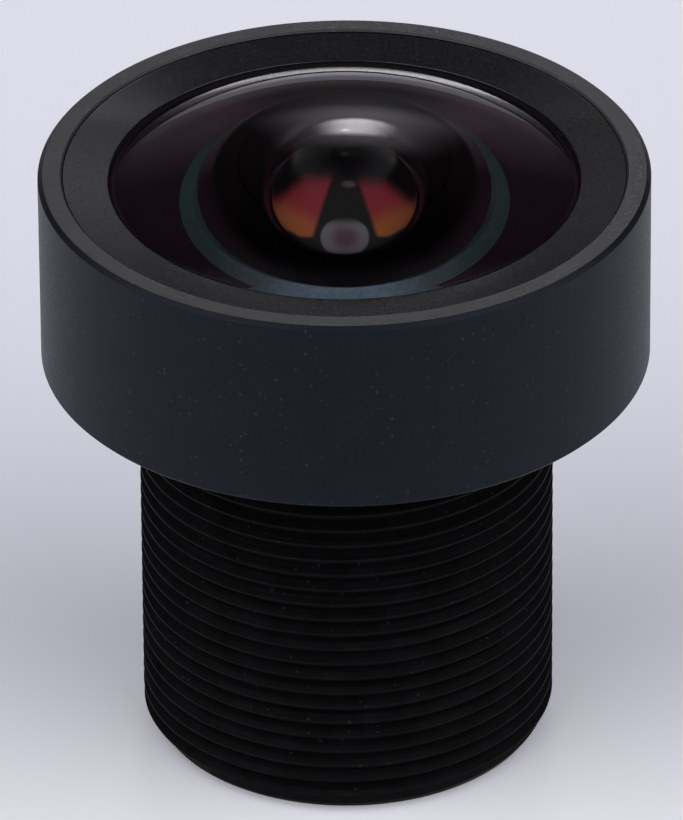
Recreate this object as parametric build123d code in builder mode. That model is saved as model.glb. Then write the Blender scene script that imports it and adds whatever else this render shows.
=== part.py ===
"""S-mount (M12) wide-angle lens: a barrel with a screwed tail, its glass, spacers, stop and rings.

The origin is the centre of the rear end face, and +Z is the optical axis, towards the front glass.
All sizes are in millimetres.
"""
from build123d import *
import math
import os

# Screwed tail of the barrel
thread_diameter = 12.0
thread_pitch = 0.5
tail_length = 12.15
tail_lead_in = 0.4
tail_lead_in_height = 0.55
thread_run_out = 0.35

# Head of the barrel
head_diameter = 17.6
head_height = 5.95
head_top_chamfer = 0.12
head_bottom_chamfer = 0.1
rim_width = 0.7
rim_edge_chamfer = 0.05
recess_depth = 3.15
seal_groove_depth = 0.55
seat_height = 0.7
seal_groove_height = 0.6

# Bores of the barrel
tail_wall = 0.84
bore_step = 0.35
rear_recess_wall = 1.1
rear_recess_depth = 1.4
rear_flange_thickness = 0.5
rear_flange_width = 0.9
rear_edge_chamfer = 0.15

# Clearances between pieces that fit into each other
lens_clearance = 0.015
ring_clearance = 0.02
seal_clearance = 0.005
seat_clearance = 0.01

# Front ring, which holds the front glass down
ring_face_drop = 0.2
ring_face_width = 1.3
ring_top_gap = 0.07
ring_edge_chamfer = 0.04

# Front glass: a deep meniscus
front_dome_rise = 1.85
front_centre_thickness = 0.5
front_dome_margin = 0.08
front_bevel_width = 0.38
front_bevel_drop = 0.3
front_hollow_margin = 1.02
front_hollow_bevel_width = 0.29
front_hollow_bevel_height = 0.27
front_hollow_least_land = 0.1

# Rims and curves of the inner glass, from the front to the rear
second_edge = 2.2
second_front_rim = 1.43
second_rear_rim = 1.8
second_front_rise = 3.0
second_rear_hollow = 0.3
third_edge = 0.9
third_rim = 1.4
third_front_rise = 0.6
third_rear_rise = 0.35
fourth_edge = 0.7
fourth_rim = 1.2
fourth_front_rise = 0.45
fourth_rear_rise = 0.3
crown_edge = 0.5
crown_rim = 0.9
crown_front_rise = 0.5
cement_rim = 0.45
cement_sag = 0.85
flint_edge = 1.6
flint_rim = 0.9
flint_rear_hollow = 0.3
rear_edge = 0.9
rear_rim = 1.1
rear_front_rise = 0.6
rear_rear_rise = 0.3

# Spacers, baffles and the stop
film = 0.05
front_baffle_thickness = 0.1
baffle_margin = 0.04
front_stop_spacer_length = 0.7
rear_stop_spacer_length = 0.8
middle_spacer_length = 0.9
rear_spacer_length = 1.0
spacer_wall = 0.85
spacer_bevel = 0.12
stop_thickness = 0.1
stop_opening_diameter = 2.6

# Filter, its gasket and the rear ring
filter_thickness = 0.3
gasket_thickness = 0.1
gasket_width = 0.9
rear_ring_length = 0.65
rear_ring_width = 1.25
rear_ring_lip = 0.15
rear_ring_flare = 0.3
spanner_slot_width = 0.8
spanner_slot_depth = 0.3

# Radii of the barrel, worked out from the sizes above
thread_radius = thread_diameter / 2
thread_depth = thread_pitch * math.sqrt(3) / 2 * 17 / 24
head_radius = head_diameter / 2
rim_z = tail_length + head_height
ring_bore = head_radius - rim_width
seal_bore = ring_bore - seal_groove_depth
front_glass_radius = seal_bore - seal_groove_depth
front_bore = thread_radius - thread_depth - tail_wall
rear_bore = front_bore - bore_step
rear_recess = thread_radius - thread_depth - rear_recess_wall
flange_bore = rear_bore - rear_flange_width

# Heights of the barrel's seats
seat_z = rim_z - recess_depth
seal_floor_z = seat_z + seat_height
ring_floor_z = seal_floor_z + seal_groove_height
flange_z = rear_recess_depth + rear_flange_thickness

# Heights in the stack of glass, from the rear flange up to the stop
rear_glass_top = flange_z + rear_edge
rear_baffle_top = rear_glass_top + film
rear_spacer_top = rear_baffle_top + rear_spacer_length
flint_top = rear_spacer_top + flint_edge
crown_top = flint_top + crown_edge
middle_baffle_top = crown_top + film
middle_spacer_top = middle_baffle_top + middle_spacer_length
fourth_top = middle_spacer_top + fourth_edge
stop_z = fourth_top + rear_stop_spacer_length

# Heights in the stack from the stop up to the front glass, where the front spacer takes up the rest
stop_top = stop_z + stop_thickness
front_stop_spacer_top = stop_top + front_stop_spacer_length
third_top = front_stop_spacer_top + third_edge
front_baffle_z = seat_z - front_baffle_thickness
second_z = front_baffle_z - second_edge

# Radii of what the bores hold
front_cell_radius = front_bore - lens_clearance
rear_cell_radius = rear_bore - lens_clearance


def write(piece, name):
    """Name a finished piece and write it to its own file."""
    piece.label = name
    export_step(piece, f"parts/{name}.step")


def cap(radius, edge_z, rise):
    """Give the apex, middle and edge points of a spherical surface's profile; a fall has a negative rise."""
    sphere = (radius**2 + rise**2) / (2 * rise)
    half_angle = math.asin(radius / abs(sphere)) / 2
    middle_z = edge_z + rise - sphere * (1 - math.cos(half_angle))
    return (0, edge_z + rise), (abs(sphere) * math.sin(half_angle), middle_z), (radius, edge_z)


def turned_glass(radius, rear_z, front_z, rear_rim, rear_rise, front_rim, front_rise):
    """Turn a lens with flat rims; the rises are along +Z, so a rear surface that bulges has a negative one."""
    rear_radius = radius - rear_rim
    front_radius = radius - front_rim
    with BuildPart() as lens:
        with BuildSketch(Plane.XZ):
            with BuildLine():
                ThreePointArc(*cap(rear_radius, rear_z, rear_rise))
                Polyline((rear_radius, rear_z), (radius, rear_z), (radius, front_z), (front_radius, front_z))
                ThreePointArc(*cap(front_radius, front_z, front_rise))
                Line((0, front_z + front_rise), (0, rear_z + rear_rise))
            make_face()
        revolve(axis=Axis.Z)
    return lens.part


def turned_ring(outer, inner, bottom, top, bevel):
    """Turn a spacer ring with both of its inner edges bevelled."""
    with BuildPart() as ring:
        with BuildSketch(Plane.XZ):
            with BuildLine():
                Polyline(
                    (outer, bottom),
                    (outer, top),
                    (inner + bevel, top),
                    (inner, top - bevel),
                    (inner, bottom + bevel),
                    (inner + bevel, bottom),
                    close=True,
                )
            make_face()
        revolve(axis=Axis.Z)
    return ring.part


def punched_disc(outer, opening, bottom, thickness):
    """Make a thin flat disc with a round opening."""
    with BuildPart() as disc:
        with BuildSketch(Plane.XY.offset(bottom)):
            Circle(outer)
            Circle(opening, mode=Mode.SUBTRACT)
        extrude(amount=thickness)
    return disc.part


os.makedirs("parts", exist_ok=True)

# Groove of the right-hand metric thread, swept along its helix from just below the lead-in's top
groove_start = tail_lead_in_height - thread_pitch
groove_end = tail_length - thread_run_out
groove_half_width = thread_pitch * 7 / 16
groove_overlap = 0.05
groove_mouth = groove_half_width + groove_overlap * math.tan(math.radians(30))
with BuildPart() as thread_groove:
    with BuildLine() as thread_path:
        thread_helix = Helix(thread_pitch, groove_end - groove_start, thread_radius, center=(0, 0, groove_start))
    with BuildSketch(Plane(origin=thread_helix @ 0, x_dir=(1, 0, 0), z_dir=thread_helix % 0)):
        with BuildLine():
            Polyline(
                (groove_overlap, groove_mouth),
                (groove_overlap, -groove_mouth),
                (-thread_depth, -thread_pitch / 16),
                (-thread_depth, thread_pitch / 16),
                close=True,
            )
        make_face()
    sweep(path=thread_path.line, is_frenet=True)

# Barrel: head and screwed tail in one, bored in steps from both ends
with BuildPart() as lens_barrel:
    with BuildSketch(Plane.XY.offset(tail_lead_in_height)):
        Circle(thread_radius)
    extrude(amount=tail_length - tail_lead_in_height)
    add(thread_groove.part, mode=Mode.SUBTRACT)
    with BuildSketch(Plane.XZ):
        with BuildLine():
            Polyline(
                (0, 0),
                (thread_radius - tail_lead_in, 0),
                (thread_radius, tail_lead_in_height),
                (0, tail_lead_in_height),
                close=True,
            )
        make_face()
    revolve(axis=Axis.Z)
    with BuildSketch(Plane.XZ):
        with BuildLine():
            Polyline(
                (0, tail_length),
                (head_radius - head_bottom_chamfer, tail_length),
                (head_radius, tail_length + head_bottom_chamfer),
                (head_radius, rim_z - head_top_chamfer),
                (head_radius - head_top_chamfer, rim_z),
                (0, rim_z),
                close=True,
            )
        make_face()
    revolve(axis=Axis.Z)
    with BuildSketch(Plane.XZ):
        with BuildLine():
            Polyline(
                (0, 0),
                (rear_recess + rear_edge_chamfer, 0),
                (rear_recess, rear_edge_chamfer),
                (rear_recess, rear_recess_depth),
                (flange_bore, rear_recess_depth),
                (flange_bore, flange_z),
                (rear_bore, flange_z),
                (rear_bore, stop_z),
                (front_bore, stop_z),
                (front_bore, seat_z),
                (front_glass_radius + lens_clearance, seat_z),
                (front_glass_radius + lens_clearance, seal_floor_z),
                (seal_bore, seal_floor_z),
                (seal_bore, ring_floor_z),
                (ring_bore, ring_floor_z),
                (ring_bore, rim_z - rim_edge_chamfer),
                (ring_bore + rim_edge_chamfer, rim_z),
                (0, rim_z),
                close=True,
            )
        make_face()
    revolve(axis=Axis.Z, mode=Mode.SUBTRACT)
write(lens_barrel.part, "lens_barrel")

# Front glass: its rear rim stands on the barrel's seat, and its bevel is where the front ring bears
dome_radius = front_glass_radius - front_bevel_width
dome_edge_z = rim_z - ring_top_gap - ring_face_drop - front_dome_margin
dome_top_z = dome_edge_z + front_dome_rise
bevel_foot_z = dome_edge_z - front_bevel_drop
hollow_mouth = front_bore - front_hollow_margin
hollow_radius = hollow_mouth - front_hollow_bevel_width
hollow_z = seat_z + front_hollow_bevel_height
hollow_top_z = dome_top_z - front_centre_thickness
hollow_rise = min(0.99 * hollow_radius, hollow_top_z - hollow_z - front_hollow_least_land)
hollow_curve_z = hollow_top_z - hollow_rise
with BuildPart() as front_element:
    with BuildSketch(Plane.XZ):
        with BuildLine():
            ThreePointArc(*cap(hollow_radius, hollow_curve_z, hollow_rise))
            Polyline(
                (hollow_radius, hollow_curve_z),
                (hollow_radius, hollow_z),
                (hollow_mouth, seat_z),
                (front_glass_radius, seat_z),
                (front_glass_radius, bevel_foot_z),
                (dome_radius, dome_edge_z),
            )
            ThreePointArc(*cap(dome_radius, dome_edge_z, front_dome_rise))
            Line((0, dome_top_z), (0, hollow_top_z))
        make_face()
    revolve(axis=Axis.Z)
write(front_element.part, "front_element")

# Front ring: its dished face slopes down to a lip that bears on the glass's bevel
ring_outer = ring_bore - ring_clearance
ring_top_z = rim_z - ring_top_gap
lip_radius = ring_outer - ring_face_width
lip_z = ring_top_z - ring_face_drop
bevel_slope = front_bevel_drop / front_bevel_width
lip_seat_z = dome_edge_z - (lip_radius - dome_radius) * bevel_slope + seat_clearance
skirt_radius = front_glass_radius + ring_clearance
skirt_top_z = dome_edge_z - (skirt_radius - dome_radius) * bevel_slope + seat_clearance
with BuildPart() as front_retaining_ring:
    with BuildSketch(Plane.XZ):
        with BuildLine():
            Polyline(
                (skirt_radius, ring_floor_z),
                (ring_outer, ring_floor_z),
                (ring_outer, ring_top_z - ring_edge_chamfer),
                (ring_outer - ring_edge_chamfer, ring_top_z),
                (lip_radius, lip_z),
                (lip_radius, lip_seat_z),
                (skirt_radius, skirt_top_z),
                close=True,
            )
        make_face()
    revolve(axis=Axis.Z)
write(front_retaining_ring.part, "front_retaining_ring")

# Seal: a rubber ring in the groove between the front glass, the barrel and the front ring
seal_section_radius = seal_groove_depth / 2 - seal_clearance
with BuildPart() as front_seal_ring:
    with BuildSketch(Plane.XZ):
        with Locations((front_glass_radius + seal_groove_depth / 2, seal_floor_z + seal_section_radius)):
            Circle(seal_section_radius)
    revolve(axis=Axis.Z)
write(front_seal_ring.part, "front_seal_ring")

# Inner glass: name, radius, rear and front rim heights, then each surface's rim width and its rise along +Z
inner_glass = [
    ("second_element", front_cell_radius, second_z, front_baffle_z,
     second_rear_rim, second_rear_hollow, second_front_rim, second_front_rise),
    ("third_element", front_cell_radius, front_stop_spacer_top, third_top,
     third_rim, -third_rear_rise, third_rim, third_front_rise),
    ("fourth_element", rear_cell_radius, middle_spacer_top, fourth_top,
     fourth_rim, -fourth_rear_rise, fourth_rim, fourth_front_rise),
    ("crown_element", rear_cell_radius, flint_top, crown_top,
     cement_rim, -cement_sag, crown_rim, crown_front_rise),
    ("flint_element", rear_cell_radius, rear_spacer_top, flint_top,
     flint_rim, flint_rear_hollow, cement_rim, -cement_sag),
    ("rear_element", rear_cell_radius, flange_z, rear_glass_top,
     rear_rim, -rear_rear_rise, rear_rim, rear_front_rise),
]
for name, *sizes in inner_glass:
    write(turned_glass(*sizes), name)

# Spacers: name, outer radius, rear and front ends
spacers = [
    ("front_spacer", front_cell_radius, third_top, second_z),
    ("front_stop_spacer", front_cell_radius, stop_top, front_stop_spacer_top),
    ("rear_stop_spacer", rear_cell_radius, fourth_top, stop_z),
    ("middle_spacer", rear_cell_radius, middle_baffle_top, middle_spacer_top),
    ("rear_spacer", rear_cell_radius, rear_baffle_top, rear_spacer_top),
]
for name, outer, bottom, top in spacers:
    write(turned_ring(outer, outer - spacer_wall, bottom, top, spacer_bevel), name)

# Aperture stop and film baffles: name, outer radius, opening radius, height and thickness
discs = [
    ("front_baffle", front_cell_radius, front_cell_radius - second_front_rim + baffle_margin,
     front_baffle_z, front_baffle_thickness),
    ("aperture_stop", front_cell_radius, stop_opening_diameter / 2, stop_z, stop_thickness),
    ("middle_baffle", rear_cell_radius, rear_cell_radius - crown_rim + baffle_margin, crown_top, film),
    ("rear_baffle", rear_cell_radius, rear_cell_radius - rear_rim + baffle_margin, rear_glass_top, film),
]
for name, outer, opening, bottom, thickness in discs:
    write(punched_disc(outer, opening, bottom, thickness), name)

# Filter: a thin round plate against the barrel's rear flange, backed by its gasket
filter_radius = rear_recess - lens_clearance
filter_z = rear_recess_depth - filter_thickness
gasket_z = filter_z - gasket_thickness
with BuildPart() as ir_cut_filter:
    with BuildSketch(Plane.XY.offset(filter_z)):
        Circle(filter_radius)
    extrude(amount=filter_thickness)
write(ir_cut_filter.part, "ir_cut_filter")
write(punched_disc(filter_radius, filter_radius - gasket_width, gasket_z, gasket_thickness), "filter_gasket")

# Rear ring, with a slot across its rear face for a spanner
rear_ring_outer = rear_recess - ring_clearance
rear_ring_inner = rear_ring_outer - rear_ring_width
rear_ring_z = gasket_z - rear_ring_length
with BuildPart() as rear_retaining_ring:
    with BuildSketch(Plane.XZ):
        with BuildLine():
            Polyline(
                (rear_ring_outer, rear_ring_z),
                (rear_ring_outer, gasket_z),
                (rear_ring_inner, gasket_z),
                (rear_ring_inner, gasket_z - rear_ring_lip),
                (rear_ring_inner + rear_ring_flare, rear_ring_z),
                close=True,
            )
        make_face()
    revolve(axis=Axis.Z)
    with BuildSketch(Plane.XY.offset(rear_ring_z)):
        Rectangle(2 * rear_ring_outer, spanner_slot_width)
    extrude(amount=spanner_slot_depth, mode=Mode.SUBTRACT)
write(rear_retaining_ring.part, "rear_retaining_ring")
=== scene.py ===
"""Looks of the S-mount lens: turned barrel, screwed tail, coated glass, stop, spacers, filter and rings."""
import logging
import math
from dataclasses import dataclass, field
from enum import Enum

import bmesh
import bpy
from mathutils import Matrix, Vector


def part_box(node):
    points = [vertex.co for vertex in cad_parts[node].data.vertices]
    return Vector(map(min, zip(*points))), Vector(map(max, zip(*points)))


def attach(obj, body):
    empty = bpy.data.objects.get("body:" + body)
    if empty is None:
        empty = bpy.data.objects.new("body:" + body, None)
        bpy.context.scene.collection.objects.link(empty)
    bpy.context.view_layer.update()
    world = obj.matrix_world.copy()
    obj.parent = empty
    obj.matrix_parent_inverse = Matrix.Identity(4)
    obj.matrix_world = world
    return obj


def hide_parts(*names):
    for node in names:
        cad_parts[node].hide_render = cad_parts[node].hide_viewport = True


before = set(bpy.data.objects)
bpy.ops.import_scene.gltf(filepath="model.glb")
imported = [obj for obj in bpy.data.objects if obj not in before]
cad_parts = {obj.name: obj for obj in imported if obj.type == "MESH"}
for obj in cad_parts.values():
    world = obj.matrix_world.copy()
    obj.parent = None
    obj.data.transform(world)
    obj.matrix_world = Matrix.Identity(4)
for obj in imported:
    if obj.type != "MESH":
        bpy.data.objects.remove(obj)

LOG = logging.getLogger("lens")
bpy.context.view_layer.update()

MM = 0.001
BODY = "root"
ON_AXIS = 1e-6
WELD_REACH = 1e-7
SHORTEST_EDGE = 1e-8
FLECK_GAIN = 5.0
NOISE_SPAN = (0.3, 0.7)

Point = tuple[float, float]
Stretch = tuple[float, float]
Colour = tuple[float, float, float]
Socket = bpy.types.NodeSocket
Value = bpy.types.NodeSocket | float


class Role(Enum):
    """What a stretch of a turned piece's surface is, and so which of its finishes it gets."""

    MAIN = 0
    SECOND = 1
    THIRD = 2
    FOURTH = 3


class Steps(Enum):
    """How many steps a piece is turned in: the more of it shows, the finer."""

    OUTER = 256
    GLASS = 192
    INNER = 128
    SPACER = 96


@dataclass(frozen=True)
class Span:
    """The radius and the two ends of a round CAD node, in millimetres."""

    radius: float
    low: float
    high: float

    @classmethod
    def of(cls, node: str) -> "Span":
        """Measure a CAD node.

        Args:
            node: The node's name.

        Returns:
            Its radius and its lowest and highest point.
        """
        lowest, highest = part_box(node)
        return cls((highest[0] - lowest[0]) / 2 / MM, lowest[2] / MM, highest[2] / MM)


@dataclass
class Outline:
    """Half of a turned piece's section: its points, the role of the stretch after each, and soft corners."""

    points: list[Point] = field(default_factory=list)
    roles: list[Role] = field(default_factory=list)
    blends: dict[int, float] = field(default_factory=dict)
    hold: float = 0.35

    def to(self, radius: float, height: float, role: Role = Role.MAIN) -> "Outline":
        """Add a corner.

        Args:
            radius: Distance from the axis in millimetres.
            height: Height in millimetres.
            role: The role of the stretch that starts here.

        Returns:
            The outline itself.
        """
        self.points.append((radius, height))
        self.roles.append(role)
        return self

    def corner(self, radius: float, height: float, blend: float, role: Role = Role.MAIN) -> "Outline":
        """Mark a corner that round() will soften; the blend is its radius in millimetres."""
        self.blends[len(self.points)] = blend
        return self.to(radius, height, role)

    def sphere(
        self, radius: float, edge: float, rise: float, inward: bool, steps: int = 40, role: Role = Role.MAIN
    ) -> "Outline":
        """Add a spherical cap between the axis and its edge.

        Args:
            radius: The cap's edge radius in millimetres.
            edge: The height of its edge.
            rise: How far its apex stands above the edge; negative where it hangs below.
            inward: Whether the cap is drawn from its edge to the axis.
            steps: The number of stretches.
            role: The cap's role.

        Returns:
            The outline itself.
        """
        ball = (radius**2 + rise**2) / (2 * rise)
        full = math.asin(min(1.0, radius / abs(ball)))
        for step in range(steps + 1):
            share = 1 - step / steps if inward else step / steps
            angle = full * share
            self.to(abs(ball) * math.sin(angle), edge + rise - ball * (1 - math.cos(angle)), role)
        return self

    def round(self, steps: int = 4) -> "Outline":
        """Give the outline with its marked corners rounded and held by a close pair of points.

        Args:
            steps: The number of stretches in each rounded corner.

        Returns:
            A new outline.
        """
        made = Outline()
        count = len(self.points)
        for index, (point, role) in enumerate(zip(self.points, self.roles)):
            blend = self.blends.get(index)
            if blend is None:
                made.to(*point, role)
                continue
            here = Vector(point)
            before = Vector(self.points[index - 1]) - here
            after = Vector(self.points[(index + 1) % count]) - here
            half = before.angle(after) / 2
            reach = blend / math.tan(half)
            start = here + before.normalized() * reach
            end = here + after.normalized() * reach
            middle = (before.normalized() + after.normalized()).normalized()
            centre = here + middle * (blend / math.sin(half))
            earlier = self.roles[index - 1]
            made.to(*(start + before.normalized() * (self.hold * blend)), earlier)
            first = (start - centre).angle_signed(Vector((1, 0)))
            last = (end - centre).angle_signed(Vector((1, 0)))
            sweep = (last - first + math.pi) % (2 * math.pi) - math.pi
            for step in range(steps + 1):
                angle = first + sweep * step / steps
                spot = centre + Vector((math.cos(angle), math.sin(angle))) * blend
                made.to(spot.x, spot.y, earlier if step < steps / 2 else role)
            made.to(*(end + after.normalized() * (self.hold * blend)), role)
        return made


def turn(name: str, outline: Outline, closed: bool = True, steps: Steps = Steps.OUTER) -> bpy.types.Object:
    """Turn an outline about the optical axis.

    Args:
        name: The piece's name.
        outline: Its half section, in millimetres.
        closed: Whether the last point joins the first one, as on a ring.
        steps: How finely it is turned.

    Returns:
        A new object with closed walls, outward normals and its roles as material indices.
    """
    mesh = bpy.data.meshes.new(name)
    shape = bmesh.new()
    rows = []
    for radius, height in outline.points:
        if radius < ON_AXIS:
            rows.append([shape.verts.new((0, 0, height * MM))])
            continue
        row = []
        for step in range(steps.value):
            angle = 2 * math.pi * step / steps.value
            spot = (radius * MM * math.cos(angle), radius * MM * math.sin(angle), height * MM)
            row.append(shape.verts.new(spot))
        rows.append(row)
    pairs = list(zip(rows, rows[1:], outline.roles))
    if closed:
        pairs.append((rows[-1], rows[0], outline.roles[-1]))
    for low, high, role in pairs:
        for step in range(steps.value):
            after = (step + 1) % steps.value
            corners = [(low, step), (low, after), (high, after), (high, step)]
            unique = list(dict.fromkeys(row[place % len(row)] for row, place in corners))
            if len(unique) < 3:
                continue
            face = shape.faces.new(unique)
            face.material_index = role.value
            face.smooth = True
    finish_mesh(shape, mesh)
    return link_object(name, mesh)


def link_object(name: str, mesh: bpy.types.Mesh) -> bpy.types.Object:
    """Put a mesh into the scene.

    Args:
        name: The object's name.
        mesh: Its mesh.

    Returns:
        The new object.
    """
    made = bpy.data.objects.new(name, mesh)
    bpy.context.scene.collection.objects.link(made)
    return made


def finish_mesh(shape: bmesh.types.BMesh, mesh: bpy.types.Mesh, sharp: float = 40.0) -> None:
    """Weld a built shape, point its faces outwards and write it to its mesh.

    Args:
        shape: The shape, which is freed.
        mesh: The mesh that takes it.
        sharp: The angle in degrees past which an edge shades sharp.
    """
    bmesh.ops.remove_doubles(shape, verts=shape.verts, dist=WELD_REACH)
    bmesh.ops.dissolve_degenerate(shape, edges=shape.edges, dist=SHORTEST_EDGE)
    bmesh.ops.recalc_face_normals(shape, faces=shape.faces)
    shape.to_mesh(mesh)
    shape.free()
    mesh.set_sharp_from_angle(angle=math.radians(sharp))


class Graph:
    """A node tree under construction."""

    def __init__(self, tree: bpy.types.NodeTree) -> None:
        """Take the tree that the nodes go into."""
        self.tree = tree

    def add(self, kind: str, values: dict | None = None, **settings: object) -> bpy.types.Node:
        """Add a node.

        Args:
            kind: The node's type.
            values: Its inputs by name or index: a socket to link, or a value to set.
            settings: Attributes of the node itself, such as an operation.

        Returns:
            The new node.
        """
        node = self.tree.nodes.new(kind)
        for key, setting in settings.items():
            setattr(node, key, setting)
        self.fill(node, values or {})
        return node

    def fill(self, node: bpy.types.Node, values: dict) -> None:
        """Set the inputs of a node.

        Args:
            node: The node.
            values: Its inputs by name or index: a socket to link, or a value to set.
        """
        for key, value in values.items():
            socket = node.inputs[key]
            if isinstance(value, bpy.types.NodeSocket):
                self.tree.links.new(value, socket)
            elif socket.type == "RGBA":
                socket.default_value = (*value, 1.0)
            else:
                socket.default_value = value

    def use(self, tree: bpy.types.NodeTree, **values: float) -> bpy.types.NodeOutputs:
        """Place a shared effect.

        Args:
            tree: The effect's group.
            values: Its inputs, with underscores for spaces.

        Returns:
            The group's outputs.
        """
        inputs = {label.replace("_", " "): value for label, value in values.items()}
        return self.add("ShaderNodeGroup", inputs, node_tree=tree).outputs

    def maths(self, operation: str, *values: Value) -> Socket:
        """Add a Math node and give its result."""
        return self.add("ShaderNodeMath", dict(enumerate(values)), operation=operation).outputs[0]

    def minus(self, value: Value, less: Value) -> Socket:
        """Take one value from another."""
        return self.maths("SUBTRACT", value, less)

    def product(self, *values: Value) -> Value:
        """Multiply values.

        Args:
            values: Any count of sockets or numbers.

        Returns:
            Their product.
        """
        whole = values[0]
        for value in values[1:]:
            whole = self.maths("MULTIPLY", whole, value)
        return whole

    def total(self, *values: Value) -> Value:
        """Add values.

        Args:
            values: Any count of sockets or numbers.

        Returns:
            Their sum.
        """
        whole = values[0]
        for value in values[1:]:
            whole = self.maths("ADD", whole, value)
        return whole

    def ramp(
        self,
        value: Socket,
        low: float,
        high: float,
        start: float = 0.0,
        end: float = 1.0,
        smooth: bool = True,
    ) -> Socket:
        """Move from one result to another while a value crosses a stretch.

        Args:
            value: The value.
            low: Where the stretch begins; it may lie past its end.
            high: Where it ends.
            start: The result before the stretch.
            end: The result after it.
            smooth: Whether the move eases in and out.

        Returns:
            The result's socket.
        """
        node = self.add("ShaderNodeMapRange", {0: value, 1: low, 2: high, 3: start, 4: end})
        node.interpolation_type = "SMOOTHSTEP" if smooth else "LINEAR"
        return node.outputs[0]

    def noise(self, place: Socket, scale: Value, detail: float, roughness: float = 0.5) -> Socket:
        """Add a cloudy noise at a scale and give its level."""
        inputs = {"Vector": place, "Scale": scale, "Detail": detail, "Roughness": roughness}
        return self.add("ShaderNodeTexNoise", inputs).outputs["Fac"]

    def bump(self, height: Socket, strength: Value, deepest: float) -> Socket:
        """Turn a height into a normal; the deepest pit is in millimetres."""
        inputs = {"Height": height, "Strength": strength, "Distance": deepest * MM}
        return self.add("ShaderNodeBump", inputs).outputs[0]

    def blend(self, share: Value, low: Socket | Colour, high: Socket | Colour) -> Socket:
        """Mix two colours by the share of the second one."""
        return self.add("ShaderNodeMix", {0: share, 6: low, 7: high}, data_type="RGBA").outputs[2]

    def scaled(self, vector: Socket | Colour, share: Value) -> Socket:
        """Multiply a colour or a place by a number."""
        return self.add("ShaderNodeVectorMath", {0: vector, "Scale": share}, operation="SCALE").outputs[0]

    def millimetres(self) -> Socket:
        """Give the surface's own coordinates in millimetres."""
        place = self.add("ShaderNodeTexCoord").outputs["Object"]
        return self.add("ShaderNodeMapping", {"Vector": place, "Scale": (1 / MM,) * 3}).outputs["Vector"]

    def across_and_depth(self) -> tuple[Socket, Socket]:
        """Give the distance from the lens's upright middle plane and the depth along it, in millimetres."""
        parts = self.add("ShaderNodeSeparateXYZ", {0: self.millimetres()}).outputs
        return parts[0], parts[1]

    def radius_and_height(self) -> tuple[Socket, Socket]:
        """Give the distance from the axis and the height, in millimetres.

        Returns:
            The radius and the height.
        """
        parts = self.add("ShaderNodeSeparateXYZ", {0: self.millimetres()}).outputs
        flat = self.add("ShaderNodeCombineXYZ", {0: parts[0], 1: parts[1]}).outputs[0]
        radius = self.add("ShaderNodeVectorMath", {0: flat}, operation="LENGTH").outputs["Value"]
        return radius, parts[2]


def new_group(
    name: str, inputs: dict[str, float], *outputs: str
) -> tuple[Graph, bpy.types.NodeOutputs, bpy.types.Node]:
    """Start a shader node group whose inputs and outputs are numbers.

    Args:
        name: The group's name.
        inputs: Its inputs with their default values.
        outputs: Its outputs.

    Returns:
        The graph, the given values and the node that takes the results.
    """
    tree = bpy.data.node_groups.new(name, "ShaderNodeTree")
    for label, value in inputs.items():
        socket = tree.interface.new_socket(name=label, in_out="INPUT", socket_type="NodeSocketFloat")
        socket.default_value = value
    for label in outputs:
        tree.interface.new_socket(name=label, in_out="OUTPUT", socket_type="NodeSocketFloat")
    graph = Graph(tree)
    return graph, graph.add("NodeGroupInput").outputs, graph.add("NodeGroupOutput")


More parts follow.
